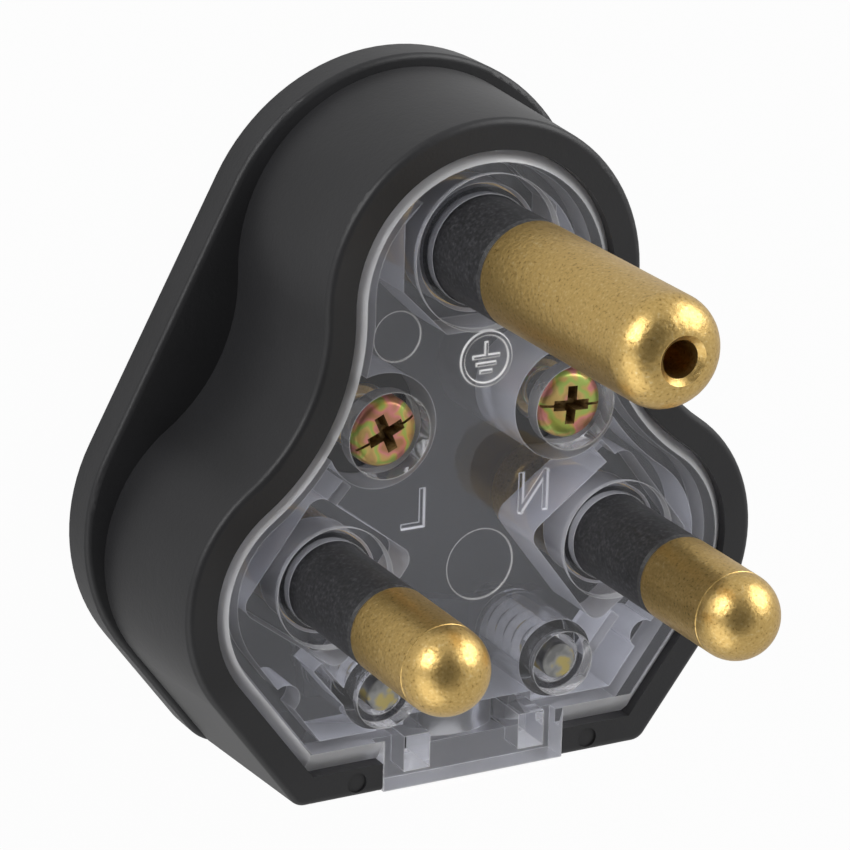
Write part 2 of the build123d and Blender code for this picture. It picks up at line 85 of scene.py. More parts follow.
# %% [markdown]
# Every finish is a Principled shader with noise behind its colour, roughness or bump. These helpers make
# the material, add one noise pattern in real millimetres, and turn such a pattern into a bump.


# %% Material helpers
def new_finish(name):
    """A material with a Principled shader; returns the material, its tree and the shader."""
    finish = bpy.data.materials.new(name)
    finish.use_nodes = True
    tree = finish.node_tree
    return finish, tree, tree.nodes["Principled BSDF"]


def noise(tree, size_mm, detail=3.0, stretch=(1, 1, 1)):
    """Noise whose blotches are about size_mm across, read from Object coordinates."""
    place = tree.nodes.new("ShaderNodeTexCoord")
    mapping = tree.nodes.new("ShaderNodeMapping")
    mapping.inputs["Scale"].default_value = stretch
    pattern = tree.nodes.new("ShaderNodeTexNoise")
    pattern.inputs["Scale"].default_value = 1 / (size_mm * MM)
    pattern.inputs["Detail"].default_value = detail
    tree.links.new(place.outputs["Object"], mapping.inputs["Vector"])
    tree.links.new(mapping.outputs["Vector"], pattern.inputs["Vector"])
    return pattern.outputs["Fac"]


def ramp(tree, source, *stops):
    """Colour ramp over a pattern; each stop is a position and a colour."""
    band = tree.nodes.new("ShaderNodeValToRGB")
    elements = band.color_ramp.elements
    while len(elements) < len(stops):
        elements.new(0.5)
    for element, (position, colour) in zip(elements, stops):
        element.position = position
        element.color = (*colour, 1)
    tree.links.new(source, band.inputs["Fac"])
    return band.outputs["Color"]


def bump(tree, shader, source, depth_mm, after=None):
    """Bump of a real depth from a pattern, on top of an earlier bump if there is one."""
    node = tree.nodes.new("ShaderNodeBump")
    node.inputs["Strength"].default_value = 1.0
    node.inputs["Distance"].default_value = depth_mm * MM
    tree.links.new(source, node.inputs["Height"])
    if after is not None:
        tree.links.new(after.outputs["Normal"], node.inputs["Normal"])
    tree.links.new(node.outputs["Normal"], shader.inputs["Normal"])
    return node


print("material helpers ready")

# %% [markdown]
# The cover is moulded rubber: nearly black, with a fine spark-eroded grain. Most of what the eye sees on
# it is a soft sheen, so its own colour is far darker than the grey in a picture. Two sizes of noise make
# the grain, and a large faint one keeps the colour from being perfectly even.

# %% Rubber
rubber, tree, shader = new_finish("cover_rubber")
cloud = noise(tree, 9.0, 2.0)
shade = ramp(tree, cloud, (0.3, (0.014, 0.014, 0.0155)), (0.7, (0.020, 0.020, 0.022)))
tree.links.new(shade, shader.inputs["Base Color"])
shader.inputs["Roughness"].default_value = 0.45
shader.inputs["IOR"].default_value = 1.5
shader.inputs["Sheen Weight"].default_value = 0.12
shader.inputs["Sheen Roughness"].default_value = 0.4
grain = bump(tree, shader, noise(tree, 0.25, 3.0), 0.011)
bump(tree, shader, noise(tree, 0.7, 2.0), 0.014, grain)
print("rubber ready")

# %% [markdown]
# The base is clear moulded plastic, cast as one true solid, so a refracting shader shows its skirt,
# bosses and channel. A moulded edge is never quite sharp, and its tiny rounding catches light as a pale
# line. A Bevel node finds such edges: there its rounded normal leans away from the flat one, and a
# scattering finish is mixed in, from the first lean to the full one. Both are cosines.


# %% Edges of clear plastic
EDGE_ROUNDING = 0.18
EDGE_SCATTER = 0.85
FIRST_LEAN = 0.985
FULL_LEAN = 0.86


def edge_share(tree):
    """How much of a surface point lies on a rounded edge, from none on a flat to EDGE_SCATTER."""
    rounded = tree.nodes.new("ShaderNodeBevel")
    rounded.samples = 4
    rounded.inputs["Radius"].default_value = EDGE_ROUNDING * MM
    surface = tree.nodes.new("ShaderNodeNewGeometry")
    likeness = tree.nodes.new("ShaderNodeVectorMath")
    likeness.operation = "DOT_PRODUCT"
    tree.links.new(rounded.outputs["Normal"], likeness.inputs[0])
    tree.links.new(surface.outputs["Normal"], likeness.inputs[1])
    share = tree.nodes.new("ShaderNodeMapRange")
    share.inputs["From Min"].default_value = FIRST_LEAN
    share.inputs["From Max"].default_value = FULL_LEAN
    share.inputs["To Min"].default_value = 0
    share.inputs["To Max"].default_value = EDGE_SCATTER
    tree.links.new(likeness.outputs["Value"], share.inputs["Value"])
    return share.outputs["Result"]


print("edges are rounded by", EDGE_ROUNDING, "mm")

# %% [markdown]
# A mould's flats are polished, but its upright walls keep fine draw marks and scatter more light, which
# is why they look milky, and the sides of a moulded letter scatter the most. The smooth walls round the
# screws scatter hardly more than the flats. So each kind of face gets its own version of one finish, and
# the versions differ in how much light they let through and how rough they are. Lamps have to reach what
# is inside, and a shadow ray can't bend through a solid, so for shadow rays alone the plastic is plainly
# transparent.


# %% Clear plastic
PLASTIC_IOR = 1.56


def clear_finish(name, colour, clearness, roughness, ripple_mm):
    """Clear plastic that lets the given share of the light through and scatters the rest."""
    finish, tree, shader = new_finish(name)
    shader.inputs["Base Color"].default_value = (*colour, 1)
    shader.inputs["Transmission Weight"].default_value = clearness
    shader.inputs["Roughness"].default_value = roughness
    shader.inputs["IOR"].default_value = PLASTIC_IOR
    bump(tree, shader, noise(tree, ripple_mm, 2.0), 0.008)
    pale = tree.nodes.new("ShaderNodeBsdfPrincipled")
    pale.inputs["Base Color"].default_value = (0.95, 0.95, 0.96, 1)
    pale.inputs["Transmission Weight"].default_value = 0.3
    pale.inputs["Roughness"].default_value = 0.25
    pale.inputs["IOR"].default_value = PLASTIC_IOR
    body = tree.nodes.new("ShaderNodeMixShader")
    tree.links.new(edge_share(tree), body.inputs["Fac"])
    tree.links.new(shader.outputs["BSDF"], body.inputs[1])
    tree.links.new(pale.outputs["BSDF"], body.inputs[2])
    see_through = tree.nodes.new("ShaderNodeBsdfTransparent")
    see_through.inputs["Color"].default_value = (0.93, 0.93, 0.95, 1)
    rays = tree.nodes.new("ShaderNodeLightPath")
    choice = tree.nodes.new("ShaderNodeMixShader")
    tree.links.new(rays.outputs["Is Shadow Ray"], choice.inputs["Fac"])
    tree.links.new(body.outputs["Shader"], choice.inputs[1])
    tree.links.new(see_through.outputs["BSDF"], choice.inputs[2])
    tree.links.new(choice.outputs["Shader"], tree.nodes["Material Output"].inputs["Surface"])
    return finish


clear = clear_finish("clear_plastic", (0.90, 0.92, 1.0), 0.967, 0.02, 2.5)
clear_wall = clear_finish("clear_plastic_wall", (0.93, 0.93, 0.95), 0.5, 0.2, 0.8)
clear_post = clear_finish("clear_plastic_post", (0.93, 0.93, 0.95), 0.93, 0.06, 0.8)
clear_step = clear_finish("clear_plastic_step", (0.94, 0.94, 0.95), 0.7, 0.25, 0.5)
clear_channel = clear_finish("clear_plastic_channel", (0.93, 0.93, 0.95), 0.85, 0.3, 0.8)
mark_edge = clear_finish("clear_plastic_mark_edge", (0.95, 0.95, 0.96), 0.15, 0.3, 0.5)
print("clear plastic ready")

# %% [markdown]
# The pins are turned brass that has been tumbled and handled: dull gold, with a scatter of tiny pits,
# shallow dents, and fine lines left by the bar stock along the shank. Stretched noise makes the lines, a
# round one the dents, and a small tight one the pits, both in the colour and in the bump.

# %% Brass
brass, tree, shader = new_finish("pin_brass")
shader.inputs["Metallic"].default_value = 0.92
pits = noise(tree, 0.24, 5.0)
tone = ramp(
    tree, pits, (0.28, (0.40, 0.25, 0.08)), (0.40, (0.70, 0.47, 0.16)),
    (0.58, (0.77, 0.53, 0.19)), (0.75, (0.86, 0.66, 0.32)),
)
tree.links.new(tone, shader.inputs["Base Color"])
shader.inputs["Roughness"].default_value = 0.34
drawn = bump(tree, shader, noise(tree, 0.35, 2.0, (1, 1, 0.06)), 0.006)
dents = bump(tree, shader, noise(tree, 0.5, 2.0), 0.035, drawn)
bump(tree, shader, pits, 0.008, dents)
print("brass ready")

# %% [markdown]
# The sleeves are a hard black plastic whose surface is scuffed by sockets, so it is matt and speckled.

# %% Sleeve plastic
sleeve_black, tree, shader = new_finish("sleeve_plastic")
speck = noise(tree, 0.3, 4.0)
shade = ramp(
    tree, speck, (0.36, (0.020, 0.020, 0.021)), (0.56, (0.036, 0.036, 0.039)),
    (0.74, (0.075, 0.075, 0.080)),
)
tree.links.new(shade, shader.inputs["Base Color"])
shader.inputs["Roughness"].default_value = 0.5
bump(tree, shader, speck, 0.012)
print("sleeve plastic ready")

# %% [markdown]
# Yellow-passivated zinc shifts from green to gold to pink as its film changes thickness. The film is a
# ramp of those colours over a slow noise. The faces that the recess in a head cuts get a finish of their
# own: its plating is duller, and its colour is painted much darker, as painted shade inside the recess.

# %% Yellow zinc
zinc, tree, shader = new_finish("passivated_zinc")
shader.inputs["Metallic"].default_value = 1.0
patch = noise(tree, 2.6, 1.8)
tone = ramp(
    tree, patch, (0.33, (0.55, 0.28, 0.15)), (0.40, (0.82, 0.32, 0.30)), (0.435, (0.74, 0.50, 0.18)),
    (0.475, (0.48, 0.60, 0.15)), (0.515, (0.50, 0.62, 0.17)), (0.55, (0.74, 0.54, 0.20)),
    (0.61, (0.60, 0.40, 0.16)), (0.66, (0.80, 0.34, 0.30)),
)
tree.links.new(tone, shader.inputs["Base Color"])
shader.inputs["Roughness"].default_value = 0.33
bump(tree, shader, noise(tree, 0.25, 3.0), 0.008)

recess_zinc_painted_shade, tree, shader = new_finish("recess_zinc_painted_shade")
shader.inputs["Metallic"].default_value = 0.8
# The dark browns are painted shade for the inside of the recess, varied by a noise.
recess_painted_shade_tone = ramp(tree, noise(tree, 0.5, 3.0), (0.4, (0.16, 0.10, 0.04)), (0.7, (0.42, 0.28, 0.11)))
tree.links.new(recess_painted_shade_tone, shader.inputs["Base Color"])
shader.inputs["Roughness"].default_value = 0.5
print("yellow zinc ready")

# %% [markdown]
# The clamp screws are plated steel whose points keep patches of a yellow film. Their threads, seen deep in
# clear plastic, get a duller version whose colour is painted far paler, a painted highlight that keeps the
# rings bright. The saddle that they pull on to the cord is a dark plastic that hardly shows behind them.

# %% Steel and dark plastic
steel, tree, shader = new_finish("screw_steel")
shader.inputs["Metallic"].default_value = 1.0
tone = ramp(
    tree, noise(tree, 1.6, 2.0), (0.38, (0.24, 0.24, 0.24)), (0.52, (0.38, 0.38, 0.37)),
    (0.62, (0.58, 0.48, 0.20)),
)
tree.links.new(tone, shader.inputs["Base Color"])
shader.inputs["Roughness"].default_value = 0.35
bump(tree, shader, noise(tree, 0.3, 3.0), 0.008)

thread_steel_painted_highlight, tree, shader = new_finish("thread_steel_painted_highlight")
shader.inputs["Metallic"].default_value = 0.4
# The near-white colours are a painted highlight on the steel threads.
tone = ramp(tree, noise(tree, 0.5, 3.0), (0.35, (0.85, 0.85, 0.84)), (0.65, (1.0, 1.0, 0.98)))
tree.links.new(tone, shader.inputs["Base Color"])
shader.inputs["Roughness"].default_value = 0.5

clamp_dark, tree, shader = new_finish("clamp_plastic")
tone = ramp(tree, noise(tree, 0.6, 3.0), (0.4, (0.024, 0.024, 0.026)), (0.7, (0.036, 0.036, 0.038)))
tree.links.new(tone, shader.inputs["Base Color"])
shader.inputs["Roughness"].default_value = 0.5
print("steel and dark plastic ready")

# %% [markdown]
# The record names a material slot for each CAD piece. Each slot has one finish, so the pieces get theirs
# in one loop. The new pieces that replace some of them use the same slots.

# %% Finishes on the CAD pieces
FINISHES = {
    "cover_rubber": rubber, "clear_plastic": clear, "pin_brass": brass,
    "sleeve_plastic": sleeve_black, "screw_steel": steel, "clamp_plastic": clamp_dark,
    "passivated_zinc": zinc,
}
slot_of = {row["node"]: row["material_slot"] for row in frame["record"]["subparts"]}
for name, piece in nodes.items():
    piece.data.materials.clear()
    piece.data.materials.append(FINISHES[slot_of[name]])
print("finishes on the CAD pieces:", sorted(set(slot_of.values())))

# %% [markdown]
# New pieces are spun. A turned piece is a chain of points spun round its axis, as a lathe makes it. A
# thread is a small section spun with a climb at each step, which leaves a helix.


# %% Turned pieces and threads
SPIN_STEPS = 72
THREAD_STEPS = 32
THREAD_SINK = 0.08


def turned(shape, axis, chain):
    """Spins a chain of (radius, height) points round an upright axis into a closed solid."""
    points = [shape.verts.new((axis.x + radius, axis.y, height)) for radius, height in chain]
    lines = [shape.edges.new(pair) for pair in zip(points, points[1:])]
    bmesh.ops.spin(
        shape, geom=points + lines, cent=(axis.x, axis.y, 0), axis=(0, 0, 1), dvec=(0, 0, 0),
        angle=2 * pi, steps=SPIN_STEPS, use_merge=True, use_normal_flip=False, use_duplicate=False,
    )


def thread(shape, axis, low, high, root, crest, pitch):
    """Winds a closed ridge round an upright axis, from one height to another."""
    turns = (high - low) / pitch
    foot = pitch * 0.22
    land = pitch * 0.06
    inner = root - THREAD_SINK
    section = [(inner, -foot), (inner, foot), (crest, land), (crest, -land)]
    points = [shape.verts.new((axis.x + radius, axis.y, low + height)) for radius, height in section]
    loop = [shape.edges.new(pair) for pair in zip(points, points[1:] + points[:1])]
    start_cap = bmesh.ops.contextual_create(shape, geom=loop)["faces"]
    bmesh.ops.spin(
        shape, geom=points + loop + start_cap, cent=(axis.x, axis.y, 0), axis=(0, 0, 1),
        dvec=(0, 0, pitch / THREAD_STEPS), angle=2 * pi * turns, steps=round(turns * THREAD_STEPS),
        use_merge=False, use_normal_flip=False, use_duplicate=False,
    )


print("a turn has", SPIN_STEPS, "steps, and a turn of thread", THREAD_STEPS)

# %% [markdown]
# A finished shape is cleaned and brought from millimetres to metres. As a piece of the plug it is smoothed
# except at real edges, and tied to the plug's body. Recesses and joined marks are made by an exact
# boolean, and each face of its result keeps the finish of the mesh that it came from.


# %% Meshes and pieces
WELD_DISTANCE = 0.001
SHARP_ANGLE = radians(32)


def to_mesh(shape, name):
    """Cleans a shape, scales it to metres and makes a mesh of it."""
    bmesh.ops.remove_doubles(shape, verts=shape.verts, dist=WELD_DISTANCE)
    bmesh.ops.recalc_face_normals(shape, faces=shape.faces)
    bmesh.ops.scale(shape, vec=(MM, MM, MM), verts=shape.verts)
    mesh = bpy.data.meshes.new(name)
    shape.to_mesh(mesh)
    shape.free()
    return mesh


def add_piece(name, mesh, slot, *stands_for):
    """Puts a finished mesh on the plug, in place of the CAD pieces that it stands for."""
    mesh.shade_smooth()
    mesh.set_sharp_from_angle(angle=SHARP_ANGLE)
    if not mesh.materials:
        mesh.materials.append(FINISHES[slot])
    piece = bpy.data.objects.new(name, mesh)
    bpy.context.scene.collection.objects.link(piece)
    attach(piece, "root")
    if stands_for:
        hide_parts(*stands_for)
    print(name, "has", len(mesh.polygons), "faces")


def combined(base, tool, how, name):
    """Cuts one mesh with another, or joins them, and returns the finished mesh."""
    body = bpy.data.objects.new(name, base)
    cutter = bpy.data.objects.new(name + "_tool", tool)
    for part in (body, cutter):
        bpy.context.scene.collection.objects.link(part)
    step = body.modifiers.new(how.lower(), "BOOLEAN")
    step.operation = how
    step.object = cutter
    step.solver = "EXACT"
    step.use_self = True
    step.material_mode = "TRANSFER"
    made = bpy.data.meshes.new_from_object(body.evaluated_get(bpy.context.evaluated_depsgraph_get()))
    bpy.data.objects.remove(body)
    bpy.data.objects.remove(cutter)
    made.name = name
    return made


print("modelling helpers ready")

# %% [markdown]
# A cover screw has a crowned pan head with a cross recess and a narrow slot through it. The cross is cut
# by two crossing wedges that narrow with depth, as a punch forms them, and the slot by a thin blade. Both
# start a little above the head, so that they cut its top cleanly. Each screw stopped at its own angle
# when it was tightened.

# %% Cover screws
HEAD_HEIGHT = 2.0
HEAD_RADIUS = 2.85
CROSS_LENGTH = 3.5
CROSS_WIDTH = 0.95
CROSS_DEPTH = 1.3
SLOT_WIDTH = 0.22
SLOT_DEPTH = 0.4
CROSS_TAPER = 0.55
TOOL_LIFT = 0.3


def wedge(shape, axis, top, length, width, depth, taper, turn):
    """A block under a given height, narrower at its bottom, turned about an upright axis."""
    corners = bmesh.ops.create_cube(shape, size=1)["verts"]
    bmesh.ops.scale(shape, vec=(length, width, depth), verts=corners)
    bmesh.ops.scale(shape, vec=(taper, taper, 1), verts=[v for v in corners if v.co.z < 0])
    bmesh.ops.rotate(shape, cent=(0, 0, 0), matrix=Matrix.Rotation(radians(turn), 3, "Z"), verts=corners)
    bmesh.ops.translate(shape, vec=(axis.x, axis.y, top - depth / 2), verts=corners)


def cover_screw(side, turn):
    """A pan-head screw that replaces the CAD one on the same side."""
    node = "cover_screw_" + side
    axis = axis_of(node)
    low, top = heights_of(node)
    seat = top - HEAD_HEIGHT
    screw = bmesh.new()
    turned(screw, axis, [
        (0, top), (1.0, top - 0.015), (1.8, top - 0.06), (2.3, top - 0.14), (2.6, top - 0.27),
        (2.78, top - 0.5), (HEAD_RADIUS, top - 0.85), (HEAD_RADIUS, seat + 0.1), (HEAD_RADIUS - 0.1, seat),
        (1.4, seat), (1.4, low + 0.5), (0.9, low), (0, low),
    ])
    body = to_mesh(screw, node + "_body")
    body.materials.append(zinc)
    punch = bmesh.new()
    above, depth = top + TOOL_LIFT, CROSS_DEPTH + TOOL_LIFT
    for quarter in (0, 90):
        wedge(punch, axis, above, CROSS_LENGTH, CROSS_WIDTH, depth, CROSS_TAPER, turn + quarter)
    wedge(punch, axis, above, 3 * HEAD_RADIUS, SLOT_WIDTH, SLOT_DEPTH + TOOL_LIFT, 1, turn)
    bmesh.ops.scale(punch, vec=(MM, MM, MM), verts=punch.verts)
    tool = bpy.data.meshes.new(node + "_punch")
    punch.to_mesh(tool)
    punch.free()
    tool.materials.append(recess_zinc_painted_shade)
    cut = combined(body, tool, "DIFFERENCE", node + "_mesh")
    add_piece(node + "_fine", cut, "passivated_zinc", node)
    ridge = bmesh.new()
    thread(ridge, axis, low + 0.8, seat - 0.8, 1.4, 1.68, 0.7)
    add_piece(node + "_thread", to_mesh(ridge, node + "_ridge"), "passivated_zinc")


cover_screw("left", 24)
cover_screw("right", -4)

# %% [markdown]
# The clamp screws turn in the clear posts, so their threads show through the plastic as a stack of rings.
# Each ends in a plain dog point that comes up to the plug's face, and has a slot across its head.

# %% Clamp screws
DOG_LENGTH = 2.6
DOG_RADIUS = 1.5
CLAMP_HEAD_HEIGHT = 1.9
CLAMP_PITCH = 1.35
THREAD_ROOT = 1.45
THREAD_CREST = 2.0
CLAMP_SLOT_LENGTH = 8
CLAMP_SLOT_WIDTH = 0.9
CLAMP_SLOT_DEPTH = 0.9


def clamp_screw(side):
    """A cheese-head screw with a dog point, which replaces the CAD one on the same side."""
    node = "clamp_screw_" + side
    axis = axis_of(node)
    low, tip = heights_of(node)
    seat = low + CLAMP_HEAD_HEIGHT
    neck = tip - DOG_LENGTH
    screw = bmesh.new()
    turned(screw, axis, [
        (0, tip - 0.05), (1.1, tip - 0.03), (DOG_RADIUS - 0.2, tip), (DOG_RADIUS - 0.05, tip - 0.06),
        (DOG_RADIUS, tip - 0.2), (DOG_RADIUS, neck), (THREAD_ROOT, neck), (THREAD_ROOT, seat),
        (2.7, seat), (2.8, seat - 0.1), (2.8, low + 0.5), (2.3, low), (0, low),
    ])
    body = to_mesh(screw, node + "_body")
    body.materials.append(steel)
    blade = bmesh.new()
    cut_depth = CLAMP_SLOT_DEPTH + TOOL_LIFT
    wedge(blade, axis, low + CLAMP_SLOT_DEPTH, CLAMP_SLOT_LENGTH, CLAMP_SLOT_WIDTH, cut_depth, 1, 0)
    tool = to_mesh(blade, node + "_blade")
    tool.materials.append(steel)
    add_piece(node + "_fine", combined(body, tool, "DIFFERENCE", node + "_mesh"), "screw_steel", node)
    ridge = bmesh.new()
    thread(ridge, axis, seat + 0.5, neck - 0.4, THREAD_ROOT, THREAD_CREST, CLAMP_PITCH)
    wound = to_mesh(ridge, node + "_ridge")
    wound.materials.append(thread_steel_painted_highlight)
    add_piece(node + "_thread", wound, "screw_steel")


clamp_screw("left")
clamp_screw("right")

# %% [markdown]
# The base carries three small marks, made of raised strokes with sloping sides: the slopes are what shows,
# as two light lines along each stroke. A relief is a height and the width of a slope. Each stroke also
# goes a little way into the plate, so that the boolean joins it cleanly.


# %% Strokes and rings
MARK_ROOT = 0.1
RING_STEPS = 48


def place_on_base(x, y):
    """A place on the base measured from the middle of the line between the line pins."""
    return Vector((LINE_MIDDLE.x + x, LINE_MIDDLE.y + y, 0))


def stroke(shape, start, end, width, surface, out, relief):
    """A straight raised stroke with sloping sides on a surface, standing up (out=1) or down (out=-1)."""
    height, slope = relief
    run = end - start
    length = run.length + width
    tall = height + MARK_ROOT
    corners = bmesh.ops.create_cube(shape, size=1)["verts"]
    bmesh.ops.scale(shape, vec=(length, width, tall), verts=corners)
    shrink = ((length - 2 * slope) / length, (width - 2 * slope) / width, 1)
    bmesh.ops.scale(shape, vec=shrink, verts=[v for v in corners if v.co.z * out > 0])
    turn = Matrix.Rotation(run.to_2d().angle_signed(Vector((1, 0))), 3, "Z")
    bmesh.ops.rotate(shape, cent=(0, 0, 0), matrix=turn, verts=corners)
    middle = (start + end) / 2
    middle.z = surface + out * (height - MARK_ROOT) / 2
    bmesh.ops.translate(shape, vec=middle, verts=corners)


def ring(shape, centre, radius, width, surface, out, relief):
    """A raised ring with sloping sides on a surface."""
    height, slope = relief
    root = surface - out * MARK_ROOT
    crest = surface + out * height
    section = [
        (radius - width / 2, root), (radius + width / 2, root),
        (radius + width / 2 - slope, crest), (radius - width / 2 + slope, crest),
    ]
    points = [shape.verts.new((centre.x + r, centre.y, z)) for r, z in section]
    lines = [shape.edges.new(pair) for pair in zip(points, points[1:] + points[:1])]
    bmesh.ops.spin(
        shape, geom=points + lines, cent=(centre.x, centre.y, 0), axis=(0, 0, 1), dvec=(0, 0, 0),
        angle=2 * pi, steps=RING_STEPS, use_merge=True, use_normal_flip=False, use_duplicate=False,
    )


def draw(shape, centre, lines, width, surface, out, relief):
    """Draws a mark's straight strokes round its centre."""
    for start, end in lines:
        start, end = centre + Vector((*start, 0)), centre + Vector((*end, 0))
        stroke(shape, start, end, width, surface, out, relief)


print("strokes and rings ready")

# %% [markdown]
# The earth symbol stands on the face. The letters by the live and neutral pins stand on the plate's inner
# side, so they read mirrored from outside. Only the sloping sides get the pale finish.

# %% Marks
FACE_MARK = (0.14, 0.17)
INNER_MARK = (0.3, 0.14)
SYMBOL_STROKE = 0.5
LETTER_STROKE = 0.58
EARTH_LINES = (
    ((0, 1.25), (0, 0.2)), ((-1.05, 0.2), (1.05, 0.2)), ((-0.74, -0.42), (0.74, -0.42)),
    ((-0.4, -1.04), (0.4, -1.04)),
)
LETTER_L = (((0.8, 1.45), (0.8, -1.35)), ((0.8, -1.35), (-0.8, -1.35)))
LETTER_N = (((-1.1, 1.5), (-1.1, -1.5)), ((1.1, 1.5), (1.1, -1.5)), ((1.1, 1.5), (-1.1, -1.5)))
FLAT = 0.97

marks = bmesh.new()
earth = place_on_base(0, 17.1)
ring(marks, earth, 2.1, 0.58, FACE, 1, FACE_MARK)
draw(marks, earth, EARTH_LINES, SYMBOL_STROKE, FACE, 1, FACE_MARK)
draw(marks, place_on_base(-5.35, 4.95), LETTER_L, LETTER_STROKE, PLATE_BACK, -1, INNER_MARK)
draw(marks, place_on_base(5.45, 4.85), LETTER_N, LETTER_STROKE, PLATE_BACK, -1, INNER_MARK)
mark_mesh = to_mesh(marks, "base_marks")
for finish in (clear, mark_edge):
    mark_mesh.materials.append(finish)
for face in mark_mesh.polygons:
    face.material_index = 1 if abs(face.normal.z) < FLAT else 0
print("marks:", len(mark_mesh.polygons), "faces")

# %% [markdown]
# The marks are joined to a copy of the CAD base, so that light passes through one solid. The copy's loose
# triangles are merged first, and its stored normals dropped, because the joined mesh gets its own.

# %% Base with marks
MERGE_DISTANCE = 0.002
cast = bmesh.new()
cast.from_mesh(nodes["clear_base"].data)
bmesh.ops.remove_doubles(cast, verts=cast.verts, dist=MERGE_DISTANCE * MM)
open_edges = [edge for edge in cast.edges if not edge.is_manifold]
print("base copy:", len(cast.faces), "faces,", len(open_edges), "open edges")
cast_mesh = bpy.data.meshes.new("base_cast")
cast.to_mesh(cast_mesh)
cast.free()
cast_mesh.attributes.remove(cast_mesh.attributes["custom_normal"])
cast_mesh.materials.append(clear)
base_mesh = combined(cast_mesh, mark_mesh, "UNION", "base_mesh")
print("joined:", len(base_mesh.polygons), "faces")

# %% [markdown]
# Each face of the base is then given the finish of its kind. Faces of the marks bring theirs with them.
# Low steps on the plate look frosted. The rest goes by place and slant: the walls of the two windows by
# the cord channel, what lies under the tongue, flats, walls close to a screw, and all other walls. The
# slants are cosines between a face and the upright, and the places are measured from the line pins.

# %% Finishes on the base
POST_REACH = 3.6
STEP_HEIGHT = 0.45
FACE_STEP_DEPTH = 0.7
TONGUE_TOP = -13.1
TONGUE_INSIDE = 3.0
WINDOW_MIDDLE = (5.2, -15.2)
WINDOW_REACH = (1.3, 1.6)
NEARLY_FLAT = 0.85
UPRIGHT = 0.5
screw_axes = [axis_of(name) for name in nodes if name.startswith(("clamp_screw", "cover_screw"))]
edge_slots = [i for i, finish in enumerate(base_mesh.materials) if finish == mark_edge]


def base_finish(face):
    """The finish for one face of the joined base."""
    middle = Vector((face.center.x, face.center.y, 0)) / MM
    slant = abs(face.normal.z)
    by_post = any((middle - axis).length < POST_REACH for axis in screw_axes)
    heights = [base_mesh.vertices[corner].co.z / MM for corner in face.vertices]
    low_step = max(heights) - min(heights) < STEP_HEIGHT and slant < FLAT
    on_face = min(heights) > FACE - FACE_STEP_DEPTH
    on_plate = on_face or abs(min(heights) - PLATE_BACK) < STEP_HEIGHT
    across, up = middle.x - LINE_MIDDLE.x, middle.y - LINE_MIDDLE.y
    in_window = (
        abs(abs(across) - WINDOW_MIDDLE[0]) < WINDOW_REACH[0]
        and abs(up - WINDOW_MIDDLE[1]) < WINDOW_REACH[1] and slant < UPRIGHT
    )
    under_tongue = up < TONGUE_TOP and max(heights) < FACE - TONGUE_INSIDE
    if face.material_index in edge_slots:
        return mark_edge
    if low_step and on_plate:
        return clear_step
    if in_window:
        return clear
    if under_tongue:
        return clear_channel
    if slant > NEARLY_FLAT:
        return clear
    return clear_post if by_post else clear_wall


finish_of = [base_finish(face) for face in base_mesh.polygons]
base_finishes = [clear, clear_wall, clear_post, clear_step, clear_channel, mark_edge]
base_mesh.materials.clear()
for finish in base_finishes:
    base_mesh.materials.append(finish)
for face, finish in zip(base_mesh.polygons, finish_of):
    face.material_index = base_finishes.index(finish)
for finish in base_finishes:
    print(finish.name, "on", finish_of.count(finish), "faces")
add_piece("base_with_marks", base_mesh, "clear_plastic", "clear_base")

# %% [markdown]
# The floor is a plain pale sheet, wide enough to fill the picture.

# %% Floor sheet
FLOOR_HALF = 1.5
ground = bpy.data.meshes.new("floor")
sheet = bmesh.new()
bmesh.ops.create_grid(sheet, x_segments=1, y_segments=1, size=FLOOR_HALF)
sheet.to_mesh(ground)
sheet.free()
floor = bpy.data.objects.new("floor", ground)
bpy.context.scene.collection.objects.link(floor)
print("floor sheet is", 2 * FLOOR_HALF, "m wide")

# %% [markdown]
# Most of what the camera sees of the floor is a white emission, and the rest is lit by the lamps, so it
# keeps a trace of the plug's soft shadow. Reflections and bent rays see a smaller share of the emission,
# and no other ray sees any, so it lights nothing that is dull.

# %% Floor finish
CAMERA_SHARE = 0.97
BENT_RAY_SHARE = 0.3
white, tree, shader = new_finish("floor_white")
shader.inputs["Base Color"].default_value = (0.5, 0.5, 0.5, 1)
shader.inputs["Roughness"].default_value = 0.9
output = tree.nodes["Material Output"]
glow = tree.nodes.new("ShaderNodeEmission")
glow.inputs["Strength"].default_value = 1.0
rays = tree.nodes.new("ShaderNodeLightPath")
share = tree.nodes.new("ShaderNodeMath")
share.operation = "MULTIPLY"
share.inputs[1].default_value = CAMERA_SHARE
bent = tree.nodes.new("ShaderNodeMath")
bent.operation = "MAXIMUM"
tree.links.new(rays.outputs["Is Glossy Ray"], bent.inputs[0])
tree.links.new(rays.outputs["Is Transmission Ray"], bent.inputs[1])
seen = tree.nodes.new("ShaderNodeMath")
seen.operation = "MULTIPLY_ADD"
seen.use_clamp = True
seen.inputs[1].default_value = BENT_RAY_SHARE
tree.links.new(bent.outputs["Value"], seen.inputs[0])
tree.links.new(rays.outputs["Is Camera Ray"], seen.inputs[2])
tree.links.new(seen.outputs["Value"], share.inputs[0])
mixed = tree.nodes.new("ShaderNodeMixShader")
tree.links.new(share.outputs["Value"], mixed.inputs["Fac"])
tree.links.new(shader.outputs["BSDF"], mixed.inputs[1])
tree.links.new(glow.outputs["Emission"], mixed.inputs[2])
tree.links.new(mixed.outputs["Shader"], output.inputs["Surface"])
ground.materials.append(white)
print("floor finish ready")

# %% [markdown]
# The world is a pale studio that is darker towards the place where the photographer stood, because the
# room is unlit there. That dark patch gives each brass dome the shadow between its two highlights.

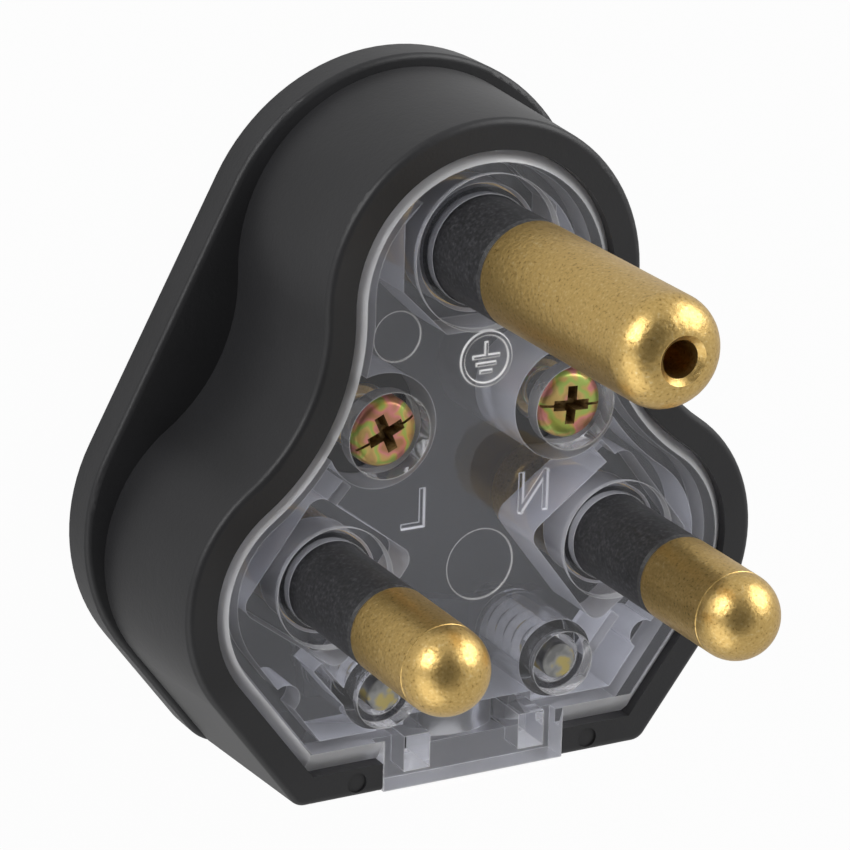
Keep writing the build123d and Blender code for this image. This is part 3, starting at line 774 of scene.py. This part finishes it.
# %% World
DARK_SIDE = Vector((-0.45, 0.33, 0.83))
world = bpy.data.worlds.new("studio")
bpy.context.scene.world = world
world.use_nodes = True
tree = world.node_tree
room = tree.nodes.new("ShaderNodeTexCoord")
facing = tree.nodes.new("ShaderNodeVectorMath")
facing.operation = "DOT_PRODUCT"
facing.inputs[1].default_value = DARK_SIDE
tree.links.new(room.outputs["Generated"], facing.inputs[0])
wall = ramp(tree, facing.outputs["Value"], (0.55, (0.56, 0.56, 0.56)), (0.85, (0.06, 0.06, 0.06)))
tree.links.new(wall, tree.nodes["Background"].inputs["Color"])
print("world ready")

# %% [markdown]
# The camera stands where the photograph's did: high over the plug's upper left, looking down at the face
# from a third of a metre with a long lens. It is turned so that the earth pin is at the top of the picture.

# %% Camera
CAMERA_PLACE = Vector((-144.5, 105.1, 273.8)) * MM
CAMERA_RIGHT = Vector((0.8824, 0.0239, 0.4699))
CAMERA_UP = Vector((0.1362, 0.9430, -0.3037))
FOCAL_PIXELS = 4000
PICTURE_PIXELS = 850
camera_data = bpy.data.cameras.new("camera")
camera_data.sensor_width = 36
camera_data.lens = camera_data.sensor_width * FOCAL_PIXELS / PICTURE_PIXELS
camera = bpy.data.objects.new("camera", camera_data)
bpy.context.scene.collection.objects.link(camera)
toward = CAMERA_RIGHT.cross(CAMERA_UP).normalized()
turn = Matrix((CAMERA_RIGHT, toward.cross(CAMERA_RIGHT).normalized(), toward)).transposed()
camera.matrix_world = Matrix.Translation(CAMERA_PLACE) @ turn.to_4x4()
camera_data.clip_start = 0.01
bpy.context.scene.camera = camera
print("camera", round(CAMERA_PLACE.length / MM), "mm away")

# %% [markdown]
# Two soft boxes light the plug from its upper left and its right, as seen in the picture. Each leaves one
# cream highlight on a pin's dome, with a dark gap between the two. A wide dim lamp at the lower left
# stands in for a reflecting card and lifts the rubber's side a little. Their power keeps the light at a
# plain level: together with the world they light a white card to just about white.

# %% Lamps
PLUG_MIDDLE = Vector((0, 0, FACE * MM))


def softbox(name, right, up, near, width, height, brightness):
    """Rectangular lamp placed by the picture's right, up and near directions, facing the plug."""
    place = PLUG_MIDDLE + CAMERA_RIGHT * right + CAMERA_UP * up + toward * near
    data = bpy.data.lights.new(name, "AREA")
    data.shape = "RECTANGLE"
    data.size = width
    data.size_y = height
    data.energy = brightness * pi * width * height
    lamp = bpy.data.objects.new(name, data)
    lamp.location = place
    lamp.rotation_mode = "QUATERNION"
    lamp.rotation_quaternion = (place - PLUG_MIDDLE).to_track_quat("Z", "Y")
    bpy.context.scene.collection.objects.link(lamp)
    print(name, "stands", round(place.z / MM), "mm over the floor,", round(data.energy, 2), "W")


softbox("left_softbox", -0.45, 0.32, 0.38, 0.44, 0.56, 5.0)
softbox("right_softbox", 0.50, 0.34, 0.10, 0.42, 0.56, 3.2)
softbox("front_card", -0.40, -0.50, 0.24, 0.90, 0.70, 0.8)
bpy.context.scene.view_settings.view_transform = "Standard"
